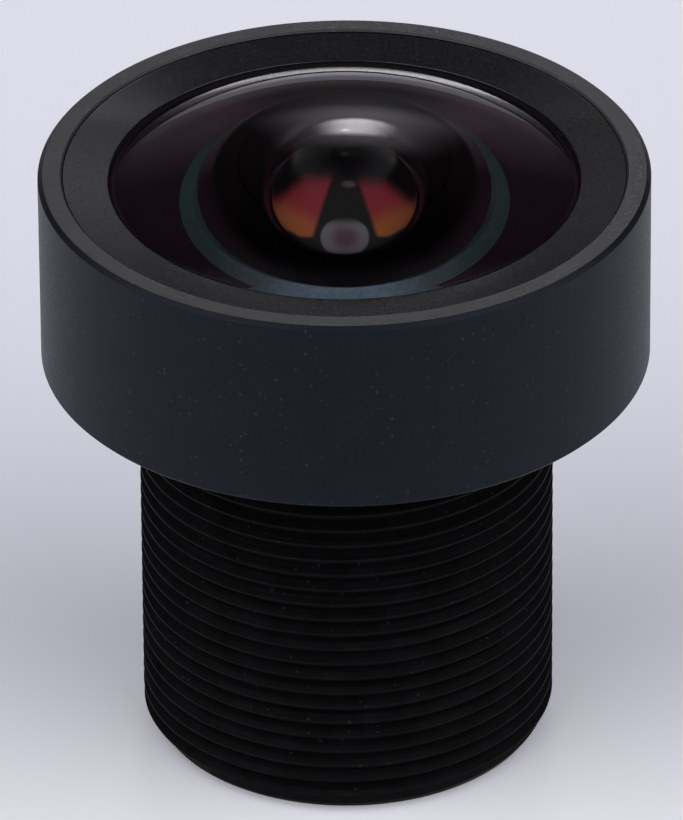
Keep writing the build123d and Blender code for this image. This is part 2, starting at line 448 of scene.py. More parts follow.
class Effects:
    """The shader effects that several finishes share, each a node group."""

    RAGGED = 0.9
    WORN_SPAN = (0.7, 1.3)

    def __init__(self) -> None:
        """Build every group once."""
        self.grain = self.build_grain()
        self.wear = self.build_wear()
        self.turning = self.build_turning()
        self.specks = self.build_specks()

    @staticmethod
    def build_grain() -> bpy.types.NodeTree:
        """Blasted metal's grain: fine pits and a slower mottle.

        Returns:
            The group.
        """
        sizes = {"Grains per mm": 14.0, "Mottle per mm": 0.9}
        graph, given, out = new_group("blasted_grain", sizes, "Pits", "Mottle")
        place = graph.millimetres()
        pits = graph.noise(place, given["Grains per mm"], detail=3.0, roughness=0.6)
        mottle = graph.noise(place, given["Mottle per mm"], detail=4.0, roughness=0.55)
        graph.fill(out, {"Pits": pits, "Mottle": mottle})
        return graph.tree

    @staticmethod
    def build_wear() -> bpy.types.NodeTree:
        """Wear along a turned edge, which is given by its radius and height.

        Returns:
            The group.
        """
        sizes = {"Radius": 1.0, "Height": 0.0, "Width": 0.1, "Breaks per mm": 1.5}
        graph, given, out = new_group("edge_wear", sizes, "Mask")
        radius, height = graph.radius_and_height()
        across = graph.minus(radius, given["Radius"])
        along = graph.minus(height, given["Height"])
        away = graph.maths("SQRT", graph.total(graph.product(across, across), graph.product(along, along)))
        breaks = graph.noise(graph.millimetres(), given["Breaks per mm"], detail=5.0, roughness=0.7)
        near = graph.maths("DIVIDE", away, given["Width"])
        ragged = graph.total(near, graph.product(breaks, Effects.RAGGED))
        graph.fill(out, {"Mask": graph.ramp(ragged, *Effects.WORN_SPAN, 1.0, 0.0, smooth=False)})
        return graph.tree

    @staticmethod
    def build_turning() -> bpy.types.NodeTree:
        """The fine rings that a lathe tool leaves, across the radius and along the height.

        Returns:
            The group.
        """
        graph, given, out = new_group("turning_marks", {"Rings per mm": 9.0}, "Marks")
        radius, height = graph.radius_and_height()
        line = graph.add("ShaderNodeCombineXYZ", {0: radius, 1: height}).outputs[0]
        marks = graph.noise(line, given["Rings per mm"], detail=2.0, roughness=0.7)
        graph.fill(out, {"Marks": marks})
        return graph.tree

    @staticmethod
    def build_specks() -> bpy.types.NodeTree:
        """Sparse round specks: bright grains and settled dust.

        Returns:
            The group.
        """
        graph, given, out = new_group("specks", {"Cells per mm": 5.0, "Share": 0.12, "Size": 0.25}, "Mask")
        places = {"Vector": graph.millimetres(), "Scale": given["Cells per mm"]}
        cells = graph.add("ShaderNodeTexVoronoi", places).outputs
        pick = graph.add("ShaderNodeSeparateColor", {0: cells["Color"]}).outputs
        chosen = graph.maths("LESS_THAN", pick[0], given["Share"])
        dot = graph.maths("LESS_THAN", cells["Distance"], graph.product(given["Size"], pick[1]))
        graph.fill(out, {"Mask": graph.product(chosen, dot)})
        return graph.tree


@dataclass(frozen=True)
class Finish:
    """One material; each kind of finish works out the inputs of its shader in its own way."""

    name: str

    def make(self, effects: Effects) -> bpy.types.Material:
        """Build the material.

        Args:
            effects: The shared effects.

        Returns:
            The material.
        """
        material = bpy.data.materials.new(self.name)
        material.use_nodes = True
        graph = Graph(material.node_tree)
        graph.fill(material.node_tree.nodes["Principled BSDF"], self.inputs(graph, effects))
        return material

    def inputs(self, graph: Graph, effects: Effects) -> dict[str, object]:
        """Work out the shader's inputs, as each kind of finish does."""
        raise NotImplementedError


def flecked(graph: Graph, colour: Socket, specks: Socket, light: Colour, strength: float) -> Socket:
    """Scatter specks over a metal's colour, several times as pale as its light one."""
    return graph.blend(graph.product(specks, strength), colour, tuple(FLECK_GAIN * part for part in light))


@dataclass(frozen=True)
class BlastedBlack(Finish):
    """Black anodised metal after bead blasting, with worn edges, smoother at the back and duller in front.

    The stretches are depths in millimetres behind the axis, over which the finish changes.
    """

    colour: Colour
    light: Colour
    roughness: float
    wear_radius: float
    wear_height: float
    wear_width: float = 0.07
    bump: float = 0.25
    pit_depth: float = 0.02
    pit_span: Stretch = (0.35, 0.7)
    pit_share: float = 0.55
    mottle_share: float = 0.24
    roughness_swing: Stretch = (-0.06, 0.08)
    grains: float = 13.0
    gloss: float = 0.3
    sheen: Colour = (1.0, 1.0, 1.0)
    polish: float = 0.0
    calming: float = 5.0
    shine: float = 0.0
    dull: float = 0.0
    flecks: float = 0.4
    bump_stretch: Stretch = (1.0, 4.0)
    back_stretch: Stretch = (2.5, 5.0)
    front_stretch: Stretch = (0.0, -6.5)

    def inputs(self, graph: Graph, effects: Effects) -> dict[str, object]:
        """Work out the shader's inputs.

        Args:
            graph: The material's graph.
            effects: The shared effects.

        Returns:
            The inputs by name.
        """
        grain = graph.use(effects.grain, Grains_per_mm=self.grains)
        specks = graph.use(effects.specks, Cells_per_mm=7.0, Share=0.18, Size=0.35)["Mask"]
        edge = {"Radius": self.wear_radius, "Height": self.wear_height, "Width": self.wear_width}
        worn = graph.use(effects.wear, **edge)["Mask"]
        pits = graph.ramp(grain["Pits"], *self.pit_span, 0.0, self.pit_share, smooth=False)
        mottle = graph.ramp(grain["Mottle"], *NOISE_SPAN, 0.0, self.mottle_share, smooth=False)
        share = graph.maths("MINIMUM", graph.total(pits, mottle, worn), 1.0)
        metal = graph.blend(share, self.colour, self.light)
        depth = graph.across_and_depth()[1]
        back = graph.ramp(depth, *self.back_stretch)
        calm = 1 - self.calming * self.polish
        rough = graph.ramp(grain["Pits"], *NOISE_SPAN, *self.roughness_swing, smooth=False)
        uneven = graph.product(rough, graph.ramp(depth, *self.back_stretch, 1.0, calm))
        strength = graph.ramp(depth, *self.bump_stretch, self.bump, self.bump * calm)
        front = graph.ramp(depth, *self.front_stretch, self.gloss, self.gloss - self.dull)
        return {
            "Base Color": flecked(graph, metal, specks, self.light, self.flecks),
            "Roughness": graph.total(self.roughness, uneven, graph.product(back, -self.polish)),
            "Specular IOR Level": graph.total(front, graph.product(back, self.shine)),
            "Specular Tint": self.sheen,
            "Normal": graph.bump(grain["Pits"], strength, self.pit_depth),
        }


@dataclass(frozen=True)
class TurnedBlack(Finish):
    """Black anodised metal as the lathe tool left it, for the thread, bores and spacers."""

    colour: Colour
    light: Colour
    roughness: float
    roughness_swing: float = 0.07
    light_span: Stretch = (0.15, 0.4)
    rings: float = 9.0
    ring_depth: float = 0.01
    bump: float = 0.2
    gloss: float = 0.15
    flecks: float = 0.0

    def inputs(self, graph: Graph, effects: Effects) -> dict[str, object]:
        """Work out the shader's inputs.

        Args:
            graph: The material's graph.
            effects: The shared effects.

        Returns:
            The inputs by name.
        """
        mottle = graph.use(effects.grain, Grains_per_mm=18.0, Mottle_per_mm=1.3)["Mottle"]
        marks = graph.use(effects.turning, Rings_per_mm=self.rings)["Marks"]
        specks = graph.use(effects.specks, Cells_per_mm=6.0, Share=0.16, Size=0.3)["Mask"]
        share = graph.ramp(graph.product(marks, mottle), *self.light_span, smooth=False)
        metal = graph.blend(share, self.colour, self.light)
        smoothest = self.roughness - self.roughness_swing
        roughest = self.roughness + self.roughness_swing
        return {
            "Base Color": flecked(graph, metal, specks, self.light, self.flecks),
            "Roughness": graph.ramp(marks, *NOISE_SPAN, smoothest, roughest, smooth=False),
            "Specular IOR Level": self.gloss,
            "Normal": graph.bump(marks, self.bump, self.ring_depth),
        }


@dataclass(frozen=True)
class CoatedGlass(Finish):
    """Polished glass with a coating whose leftover reflection has a colour, and a little dust."""

    reflection: Colour
    index: float
    tint: Colour = (1.0, 1.0, 1.0)
    dust_roughness: float = 0.25

    def inputs(self, graph: Graph, effects: Effects) -> dict[str, object]:
        """Work out the shader's inputs.

        Args:
            graph: The material's graph.
            effects: The shared effects.

        Returns:
            The inputs by name.
        """
        dust = graph.use(effects.specks, Cells_per_mm=2.2, Share=0.05, Size=0.06)["Mask"]
        return {
            "Base Color": self.tint,
            "Roughness": graph.product(dust, self.dust_roughness),
            "IOR": self.index,
            "Transmission Weight": 1.0,
            "Specular Tint": self.reflection,
        }


@dataclass(frozen=True)
class Ink(Finish):
    """The black that hides the rims of the glass, with painted light at the back and a painted glow at the
    back of the sides, standing in for the coating's reflected haze.

    The stretches are depths, distances from the middle and radii in millimetres, over which it comes in.
    """

    colour: Colour
    light: Colour
    roughness: float
    painted_back_light: Colour = (0.0, 0.0, 0.0)
    painted_side_glow: Colour = (0.0, 0.0, 0.0)
    gloss: float = 0.2
    painted_back_light_depth: Stretch = (-4.0, -0.5)
    painted_side_glow_depth: Stretch = (1.0, 3.2)
    painted_side_glow_side: Stretch = (1.2, 3.0)
    painted_side_glow_rim: Stretch = (6.1, 5.4)

    def inputs(self, graph: Graph, effects: Effects) -> dict[str, object]:
        """Work out the shader's inputs.

        Args:
            graph: The material's graph.
            effects: The shared effects.

        Returns:
            The inputs by name.
        """
        mottle = graph.use(effects.grain, Grains_per_mm=6.0, Mottle_per_mm=0.8)["Mottle"]
        colour = graph.blend(graph.ramp(mottle, *NOISE_SPAN), self.colour, self.light)
        across, depth = graph.across_and_depth()
        radius = graph.radius_and_height()[0]
        # Painted light: a weak tint over the back half and a stronger glow behind and beside the hollow,
        # standing in for the coating's reflected haze.
        near = graph.ramp(depth, *self.painted_back_light_depth)
        beside = graph.ramp(graph.maths("ABSOLUTE", across), *self.painted_side_glow_side)
        behind = graph.ramp(depth, *self.painted_side_glow_depth)
        far = graph.product(behind, beside, graph.ramp(radius, *self.painted_side_glow_rim))
        for layer, share in ((self.painted_back_light, near), (self.painted_side_glow, far)):
            both = {0: colour, 1: graph.scaled(layer, share)}
            colour = graph.add("ShaderNodeVectorMath", both, operation="ADD").outputs[0]
        return {"Base Color": colour, "Roughness": self.roughness, "Specular IOR Level": self.gloss}


@dataclass(frozen=True)
class HollowBevel(Finish):
    """The blacked bevel round the hollow's mouth, with a painted teal reflection of the coating: painted
    shade a little off the front and painted light at the front.

    The stretches are turns in degrees from the front, over which its painted light and shade change.
    """

    dark: Colour = (0.055, 0.088, 0.088)
    painted_shade_tone: Colour = (0.026, 0.046, 0.061)
    light: Colour = (0.135, 0.195, 0.265)
    painted_shade_stretch: Stretch = (100.0, 35.0)
    painted_light_stretch: Stretch = (38.0, 10.0)
    mottle: Stretch = (0.75, 1.2)
    roughness: float = 0.35
    gloss: float = 0.2

    def inputs(self, graph: Graph, effects: Effects) -> dict[str, object]:
        """Work out the shader's inputs.

        Args:
            graph: The material's graph.
            effects: The shared effects.

        Returns:
            The inputs by name.
        """
        across, depth = graph.across_and_depth()
        turned = graph.maths("DEGREES", graph.maths("ARCTAN2", across, graph.product(depth, -1.0)))
        front = graph.maths("ABSOLUTE", turned)
        pits = graph.use(effects.grain, Grains_per_mm=9.0, Mottle_per_mm=1.2)["Pits"]
        # Painted reflection: the teal level follows the turn round the axis, painted shade a little off the
        # front and painted light at the front.
        colour = graph.blend(graph.ramp(front, *self.painted_shade_stretch), self.dark, self.painted_shade_tone)
        colour = graph.blend(graph.ramp(front, *self.painted_light_stretch), colour, self.light)
        uneven = graph.ramp(pits, *NOISE_SPAN, *self.mottle, smooth=False)
        return {
            "Base Color": graph.scaled(colour, uneven),
            "Roughness": self.roughness,
            "Specular IOR Level": self.gloss,
        }


@dataclass(frozen=True)
class Oval:
    """An ellipse on a coating, by its centre and its half widths in millimetres."""

    across: float
    depth: float
    wide: float
    deep: float

    def distance(self, graph: Graph, across: Socket, depth: Socket) -> Socket:
        """Measure how far a place lies from the centre, 1 being the edge.

        Args:
            graph: The material's graph.
            across: The place's distance from the middle plane.
            depth: Its depth.

        Returns:
            The distance.
        """
        side = graph.maths("DIVIDE", graph.minus(across, self.across), self.wide)
        length = graph.maths("DIVIDE", graph.minus(depth, self.depth), self.deep)
        return graph.maths("SQRT", graph.total(graph.product(side, side), graph.product(length, length)))


@dataclass(frozen=True)
class PaintedInnerReflections(Finish):
    """Painted reflections deep inside: two red and orange lobes that stand in for the lamps' reflections in
    the coatings, a painted highlight spot and a grey pupil of painted light between them, all on a dark
    ground that stands in for the shaded inside of the lens.

    Its ovals, widths and edges are in millimetres on the second glass's rear face.
    """

    circle: Oval = Oval(0.0, 0.72, 1.88, 1.88)
    pupil: Oval = Oval(0.0, -0.76, 0.68, 0.86)
    spot: Oval = Oval(0.12, 1.42, 0.22, 0.16)
    circle_edge: Stretch = (1.02, 0.97)
    pupil_edge: Stretch = (1.04, 0.94)
    pupil_core: Stretch = (0.25, 0.8)
    pupil_painted_shade: Stretch = (0.15, -0.35)
    painted_highlight_edge: Stretch = (1.2, 0.4)
    painted_highlight_share: float = 0.8
    neck_width: float = 0.70
    neck_taper: float = 0.236
    neck_edge: Stretch = (-0.04, 0.12)
    shoulder: float = 1.05
    shoulder_slope: float = 1.2
    right_side: Stretch = (-0.4, 0.4)
    right_cut: float = 0.17
    right_loss: float = 0.10
    back_edge: Stretch = (2.0, 1.25)
    front_edge: Stretch = (-0.78, -0.62)
    warm_side: float = 0.8
    warm_stretch: Stretch = (0.2, 1.3)
    dark: Colour = (0.004, 0.003, 0.004)
    orange: Colour = (0.82, 0.235, 0.075)
    crimson: Colour = (0.62, 0.060, 0.085)
    grey: Colour = (0.34, 0.32, 0.37)
    violet: Colour = (0.21, 0.10, 0.14)
    painted_highlight_olive: Colour = (0.25, 0.21, 0.17)
    roughness: float = 0.5

    def inputs(self, graph: Graph, effects: Effects) -> dict[str, object]:
        """Work out the shader's inputs.

        Args:
            graph: The material's graph.
            effects: The shared effects, of which it takes none.

        Returns:
            The inputs by name.
        """
        across, depth = graph.across_and_depth()
        # Painted reflection: the lobes' colour over a dark ground that stands in for the shaded inside of
        # the lens.
        colour = graph.blend(self.lobes(graph, across, depth), self.dark, self.warmth(graph, across, depth))
        # Painted highlight: a faint olive spot.
        spot = self.spot.distance(graph, across, depth)
        colour = graph.blend(graph.ramp(spot, *self.painted_highlight_edge, 0.0, self.painted_highlight_share), colour, self.painted_highlight_olive)
        # Painted light: the grey pupil, with painted shade over its back part.
        away = self.pupil.distance(graph, across, depth)
        centre = graph.blend(graph.ramp(away, *self.pupil_core), self.violet, self.grey)
        lit = graph.blend(graph.ramp(depth, *self.pupil_painted_shade), self.dark, centre)
        colour = graph.blend(graph.ramp(away, *self.pupil_edge), colour, lit)
        return {"Base Color": colour, "Roughness": self.roughness}

    def lobes(self, graph: Graph, across: Socket, depth: Socket) -> Socket:
        """Give the share of painted reflection: inside the circle, outside the neck, and fading towards the
        back.

        Args:
            graph: The material's graph.
            across: The place's distance from the middle plane.
            depth: Its depth behind the axis.

        Returns:
            The share.
        """
        side = graph.maths("ABSOLUTE", across)
        inside = graph.ramp(self.circle.distance(graph, across, depth), *self.circle_edge)
        neck = graph.total(self.neck_width, graph.product(depth, -self.neck_taper))
        beside = graph.ramp(graph.minus(side, neck), *self.neck_edge)
        past = graph.maths("MAXIMUM", graph.minus(side, self.shoulder), 0.0)
        right = graph.ramp(across, *self.right_side)
        cut = graph.product(right, self.right_cut)
        reach = graph.total(depth, graph.product(past, self.shoulder_slope), cut)
        level = graph.minus(1.0, graph.product(right, self.right_loss))
        back = graph.ramp(reach, *self.back_edge)
        return graph.product(inside, beside, back, graph.ramp(depth, *self.front_edge), level)

    def warmth(self, graph: Graph, across: Socket, depth: Socket) -> Socket:
        """Give the painted reflection's colour: crimson at the back and inside, orange at the front and
        outside.
        """
        out = graph.minus(graph.product(graph.maths("ABSOLUTE", across), self.warm_side), depth)
        return graph.blend(graph.ramp(out, *self.warm_stretch), self.crimson, self.orange)


@dataclass(frozen=True)
class FloorPaper(Finish):
    """The pale paper that the lens stands on, painted lighter in front, with a weak painted shadow round and
    behind its foot, and the grey room far off.

    The stretches are depths and distances in millimetres, over which the paper changes.
    """

    near: Colour = (0.96, 0.96, 1.0)
    middle: Colour = (0.84, 0.84, 0.92)
    painted_foot_shadow: Colour = (0.84, 0.84, 0.93)
    room: Colour = (0.30, 0.30, 0.34)
    painted_light_fall: Stretch = (-25.0, 30.0)
    painted_foot_shadow_start: Stretch = (-9.0, 9.0)
    painted_foot_shadow_end: Stretch = (38.0, 14.0)
    paper_edge: Stretch = (90.0, 260.0)
    mottle_scale: float = 0.05
    mottle_share: float = 0.15
    mottle_level: float = -0.07
    roughness: float = 0.6

    def inputs(self, graph: Graph, effects: Effects) -> dict[str, object]:
        """Work out the shader's inputs.

        Args:
            graph: The material's graph.
            effects: The shared effects, of which it takes none.

        Returns:
            The inputs by name.
        """
        depth = graph.across_and_depth()[1]
        # Painted shadow round and behind the lens's foot, broken by a slow mottle.
        painted_foot_shadow = graph.product(graph.ramp(depth, *self.painted_foot_shadow_start), graph.ramp(depth, *self.painted_foot_shadow_end))
        mottle = graph.noise(graph.millimetres(), self.mottle_scale, detail=2.0)
        share = graph.total(painted_foot_shadow, graph.product(mottle, self.mottle_share), self.mottle_level)
        # Painted light: the paper is lighter in front of the lens than behind it.
        base = graph.blend(graph.ramp(depth, *self.painted_light_fall), self.near, self.middle)
        paper = graph.blend(share, base, self.painted_foot_shadow)
        away = graph.ramp(graph.radius_and_height()[0], *self.paper_edge)
        return {"Base Color": graph.blend(away, paper, self.room), "Roughness": self.roughness}


class Finishes:
    """Every material of the lens and its studio, by a maker's plain name."""

    def __init__(self, effects: Effects) -> None:
        """Build them all.

        Args:
            effects: The shared effects.
        """
        barrel = Span.of("lens_barrel")
        ring = Span.of("front_retaining_ring")
        self.head = BlastedBlack(
            "head_blasted_black", (0.0015, 0.0022, 0.0042), (0.0058, 0.0074, 0.0110), 0.42,
            barrel.radius, barrel.high, gloss=0.15, sheen=(0.75, 0.85, 1.0),
        ).make(effects)
        self.rim = BlastedBlack(
            "rim_blasted_grey", (0.007, 0.006, 0.0075), (0.030, 0.028, 0.033), 0.36,
            barrel.radius - Barrel.rim_width, barrel.high, gloss=0.22, flecks=0.25,
        ).make(effects)
        self.dish = BlastedBlack(
            "ring_blasted_grey", (0.0042, 0.0040, 0.0046), (0.0170, 0.0155, 0.0175), 0.29,
            ring.radius - FrontGroup.lip_width, ring.high - FrontGroup.wear_drop, bump=0.10, grains=11.0,
            gloss=0.16, polish=0.16, shine=0.45, dull=0.10, flecks=0.1,
        ).make(effects)
        self.thread = TurnedBlack(
            "thread_black", (0.0012, 0.0012, 0.0014), (0.0038, 0.0039, 0.0045), 0.55, gloss=0.06, flecks=0.6
        ).make(effects)
        self.bore = TurnedBlack(
            "bore_black", (0.0015, 0.0015, 0.0015), (0.003, 0.003, 0.0035), 0.6
        ).make(effects)
        self.front_glass = CoatedGlass("front_glass", (0.075, 0.035, 0.065), 1.8).make(effects)
        self.hollow_glass = CoatedGlass("hollow_glass", (0.004, 0.002, 0.004), 1.8).make(effects)
        self.second_glass = CoatedGlass("second_glass", (0.03, 0.02, 0.025), 1.6).make(effects)
        self.inner_glass = CoatedGlass("inner_glass", (0.6, 0.35, 0.3), 1.55).make(effects)
        # Painted reflections, a painted highlight and painted pupil light, on the second glass's rear face.
        self.coating = PaintedInnerReflections("rear_painted_reflections").make(effects)
        self.filter_glass = CoatedGlass(
            "filter_glass", (0.9, 0.35, 0.45), 1.52, tint=(0.78, 0.95, 0.93)
        ).make(effects)
        # The rim ink carries painted light at the back and a painted glow at the back of the sides.
        self.ink = Ink(
            "rim_ink", (0.0025, 0.0012, 0.0022), (0.0045, 0.0022, 0.0040), 0.45,
            painted_back_light=(0.018, 0.008, 0.013), painted_side_glow=(0.070, 0.045, 0.062), gloss=0.05,
        ).make(effects)
        # The hollow's bevel carries a painted teal reflection with painted light at the front.
        self.teal = HollowBevel("hollow_bevel").make(effects)
        self.film = Ink("film_black", (0.003, 0.003, 0.003), (0.006, 0.006, 0.006), 0.7).make(effects)
        self.rubber = Ink("rubber_black", (0.010, 0.010, 0.010), (0.018, 0.018, 0.018), 0.65).make(effects)
        # The floor carries painted light in front and a painted shadow round the lens's foot.
        self.paper = FloorPaper("floor_paper").make(effects)


def dress(piece: bpy.types.Object, finishes: list[bpy.types.Material], node: str) -> None:
    """Give a finished piece its materials and tie it to the frame.

    Args:
        piece: The piece.
        finishes: Its materials, in the order of the roles.
        node: The CAD node that it stands for.
    """
    for material in finishes:
        piece.data.materials.append(material)
    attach(piece, BODY)
    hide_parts(node)
    LOG.info("%s: %d faces for %s", piece.name, len(piece.data.polygons), node)


@dataclass
class Barrel:
    """The head and the screwed tail, turned in one piece and bored in steps."""

    pitch: float = 0.5
    thread_depth: float = 0.307
    tail_length: float = 12.15
    tail_radius: float = 6.0
    run_out: float = 0.35
    lead_in: float = 0.4
    lead_in_height: float = 0.55
    top_chamfer: float = 0.12
    bottom_chamfer: float = 0.1
    rear_chamfer: float = 0.15
    rim_width: float = 0.7
    rim_chamfer: float = 0.05
    clearance: float = 0.015
    seal_clearance: float = 0.005
    flange_rise: float = 0.3
    flange_width: float = 0.9
    edge_round: float = 0.035
    foot_round: float = 0.03
    rim_round: float = 0.02
    weld_reach: float = 0.0015
    sharp_angle: float = 28.0

    def build(self, finishes: Finishes) -> None:
        """Build and dress the barrel.

        Args:
            finishes: The lens's materials.
        """
        whole = Span.of("lens_barrel")
        ring = Span.of("front_retaining_ring")
        shape = Outline()
        shape.to(self.tail_radius, self.tail_length)
        shape.corner(whole.radius - self.bottom_chamfer, self.tail_length, self.foot_round)
        shape.corner(whole.radius, self.tail_length + self.bottom_chamfer, self.foot_round)
        shape.corner(whole.radius, whole.high - self.top_chamfer, self.edge_round)
        shape.corner(whole.radius - self.top_chamfer, whole.high, self.edge_round, Role.SECOND)
        ring_bore = whole.radius - self.rim_width
        shape.corner(ring_bore + self.rim_chamfer, whole.high, self.rim_round, Role.SECOND)
        top = whole.high - self.rim_chamfer
        for radius, floor in [(ring_bore, ring.low), *self.bore()]:
            shape.to(radius, top, Role.FOURTH).to(radius, floor, Role.FOURTH)
            top = floor
        filter_bore = Span.of("ir_cut_filter").radius + self.clearance
        shape.to(filter_bore, top, Role.FOURTH)
        shape.to(filter_bore, self.rear_chamfer, Role.THIRD)
        shape.corner(filter_bore + self.rear_chamfer, 0.0, self.foot_round, Role.THIRD)
        shape.to(self.tail_radius - self.lead_in, 0.0, Role.THIRD)
        body = turn("barrel", shape.round(), closed=False)
        self.weld(body, ThreadTree(self).apply(finishes.thread))
        dress(body, [finishes.head, finishes.rim, finishes.thread, finishes.bore], "lens_barrel")

    def bore(self) -> list[Point]:
        """Give the steps of the bore below the ring, from the front to the rear.

        Returns:
            The radius and the floor of each step.
        """
        seal = Span.of("front_seal_ring")
        glass = Span.of("front_element")
        front_cell = Span.of("front_spacer").radius + self.clearance
        rear_cell = Span.of("rear_spacer").radius + self.clearance
        stop = Span.of("aperture_stop")
        return [
            (seal.radius + self.seal_clearance, seal.low),
            (glass.radius + self.clearance, glass.low),
            (front_cell, stop.low),
            (rear_cell, Span.of("rear_element").low + self.flange_rise),
            (rear_cell - self.flange_width, Span.of("ir_cut_filter").high),
        ]

    def weld(self, body: bpy.types.Object, thread: bpy.types.Object) -> None:
        """Join the thread's skin to the barrel's open end, so that the walls close.

        Args:
            body: The barrel, open along its tail.
            thread: The thread's skin, which is removed.
        """
        for face in thread.data.polygons:
            face.material_index = Role.THIRD.value
            face.use_smooth = True
        whole = bmesh.new()
        whole.from_mesh(body.data)
        whole.from_mesh(thread.data)
        bmesh.ops.remove_doubles(whole, verts=whole.verts, dist=self.weld_reach * MM)
        finish_mesh(whole, body.data, self.sharp_angle)
        loose = [edge for edge in body.data.edges if edge.is_loose]
        LOG.info("barrel: %d loose edges after welding", len(loose))
        bpy.data.objects.remove(thread)


class ThreadTree:
    """The screw's skin: a strip one pitch wide that winds up the tail, made by geometry nodes.

    Its own sizes are shares of the pitch, but for the seam that joins the turns, which is in millimetres.
    """

    ROWS = 5
    ROW_GAP = 0.25
    FLAT = 0.125
    CREST = 0.625
    CREST_REACH = 0.2
    SEAM = 0.0005

    def __init__(self, barrel: Barrel) -> None:
        """Take the sizes from the barrel and build the tree.

        Args:
            barrel: The barrel.
        """
        self.sizes = {
            "Pitch": barrel.pitch,
            "Root Radius": barrel.tail_radius - barrel.thread_depth,
            "Crest Radius": barrel.tail_radius,
            "Length": barrel.tail_length,
            "Thread End": barrel.tail_length - barrel.run_out,
            "Lead-in": barrel.lead_in,
            "Lead-in Height": barrel.lead_in_height,
        }
        self.counts = {
            "Turns": math.ceil(barrel.tail_length / barrel.pitch) + 2,
            "Steps per Turn": Steps.OUTER.value,
        }
        self.tree = bpy.data.node_groups.new("helical_thread", "GeometryNodeTree")
        sockets = self.tree.interface
        sockets.new_socket(name="Geometry", in_out="INPUT", socket_type="NodeSocketGeometry")
        for kind, values in (("NodeSocketFloat", self.sizes), ("NodeSocketInt", self.counts)):
            for label, value in values.items():
                sockets.new_socket(name=label, in_out="INPUT", socket_type=kind).default_value = value
        sockets.new_socket(name="Finish", in_out="INPUT", socket_type="NodeSocketMaterial")
        sockets.new_socket(name="Geometry", in_out="OUTPUT", socket_type="NodeSocketGeometry")
        self.wind(Graph(self.tree))

    def wind(self, graph: Graph) -> None:
        """Fill the tree: a flat strip, whose length becomes the turns and whose width becomes one pitch.

        The strip's first two rows of points make the root's flat, the next two the crest's, and the last one
        meets the first of the next turn. It starts over a turn below the rear face, where it is cut off.

        Args:
            graph: The tree's graph.
        """
        given = graph.add("NodeGroupInput").outputs
        columns = graph.total(graph.product(given["Turns"], given["Steps per Turn"]), 1.0)
        flat = {"Size X": 1.0, "Size Y": 1.0, "Vertices X": columns, "Vertices Y": self.ROWS}
        strip = graph.add("GeometryNodeMeshGrid", flat).outputs["Mesh"]
        place = graph.add("GeometryNodeInputPosition").outputs[0]
        parts = graph.add("ShaderNodeSeparateXYZ", {0: place}).outputs
        turns = graph.product(graph.total(parts[0], 0.5), given["Turns"])
        across = graph.total(parts[1], 0.5)
        angle = graph.product(turns, 2 * math.pi)
        fold = graph.maths("PINGPONG", across, self.ROW_GAP)
        station = graph.minus(across, graph.product(fold, 1 - self.FLAT / self.ROW_GAP))
        rise = graph.product(graph.minus(graph.total(turns, station), 1 + self.FLAT / 2), given["Pitch"])
        height = graph.maths("MINIMUM", graph.maths("MAXIMUM", rise, 0.0), given["Length"])
        crest = graph.maths("COMPARE", across, self.CREST, self.CREST_REACH)
        cut = graph.maths("LESS_THAN", height, given["Thread End"])
        groove = graph.product(graph.minus(1.0, crest), cut)
        deep = graph.product(groove, graph.minus(given["Crest Radius"], given["Root Radius"]))
        climb = graph.maths("MINIMUM", graph.maths("DIVIDE", height, given["Lead-in Height"]), 1.0)
        cone = graph.minus(given["Crest Radius"], graph.product(graph.minus(1.0, climb), given["Lead-in"]))
        radius = graph.maths("MINIMUM", graph.minus(given["Crest Radius"], deep), cone)
        right = graph.product(radius, graph.maths("COSINE", angle))
        back = graph.product(radius, graph.maths("SINE", angle))
        spot = graph.add("ShaderNodeCombineXYZ", {0: right, 1: back, 2: height}).outputs[0]
        winding = {"Geometry": strip, "Position": graph.scaled(spot, MM)}
        moved = graph.add("GeometryNodeSetPosition", winding).outputs[0]
        seam = {"Geometry": moved, "Distance": self.SEAM * MM}
        welded = graph.add("GeometryNodeMergeByDistance", seam).outputs[0]
        real = graph.add("GeometryNodeRealizeInstances", {"Geometry": welded}).outputs[0]
        coated = graph.add("GeometryNodeSetMaterial", {"Geometry": real, "Material": given["Finish"]})
        graph.add("NodeGroupOutput", {0: coated.outputs[0]})

    def apply(self, finish: bpy.types.Material) -> bpy.types.Object:
        """Grow the thread's skin.

        Args:
            finish: Its material.

        Returns:
            A plain mesh object, open at both ends.
        """
        carrier = link_object("thread_carrier", bpy.data.meshes.new("thread_carrier"))
        modifier = carrier.modifiers.new("thread", "NODES")
        modifier.node_group = self.tree
        values = {**self.sizes, **self.counts, "Finish": finish}
        for item in self.tree.interface.items_tree:
            if item.in_out == "INPUT" and item.name in values:
                modifier[item.identifier] = values[item.name]
        bpy.context.view_layer.update()
        mesh = plain_mesh(carrier)
        bpy.data.objects.remove(carrier)
        return link_object("thread_skin", mesh)


def plain_mesh(piece: bpy.types.Object) -> bpy.types.Mesh:
    """Turn an object with live modifiers into a plain mesh."""
    return bpy.data.meshes.new_from_object(piece.evaluated_get(bpy.context.evaluated_depsgraph_get()))


